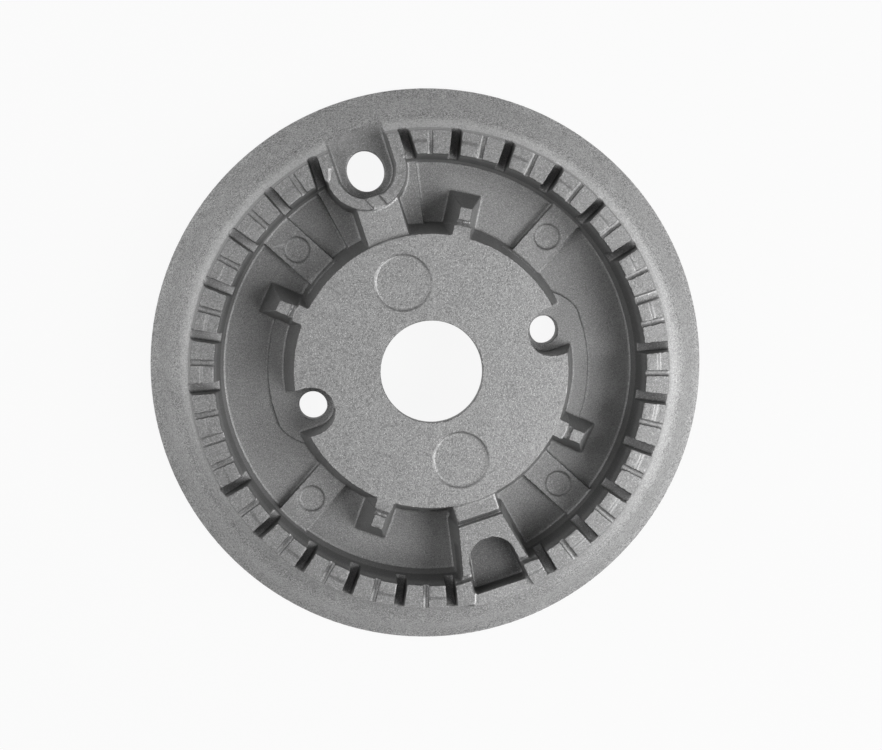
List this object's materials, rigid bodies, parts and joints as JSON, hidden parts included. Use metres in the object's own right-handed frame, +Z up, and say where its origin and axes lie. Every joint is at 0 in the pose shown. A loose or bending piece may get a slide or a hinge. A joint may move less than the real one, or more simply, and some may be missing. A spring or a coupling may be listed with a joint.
{
  "type": "gas burner head",
  "caption": "Round cast gas burner head with a slotted flame ring, a raised centre plateau with a bore and screw holes, an electrode niche and a sloping flange.",
  "frame": {"origin": "centre of the round body at the level of the seat on its underside", "axes": "+Z up along the bore's axis, towards the flame ring's slotted top; +Y from the axis through the electrode niche; the two fixing screws stand on X"},
  "size_m": [0.1, 0.1, 0.0148],
  "materials": {
    "cast_aluminium": "shot-blasted casting, matt with a fine sparkle"
  },
  "bodies": {
    "root": {"burner_head": "cast_aluminium"}
  },
  "joints": []
}
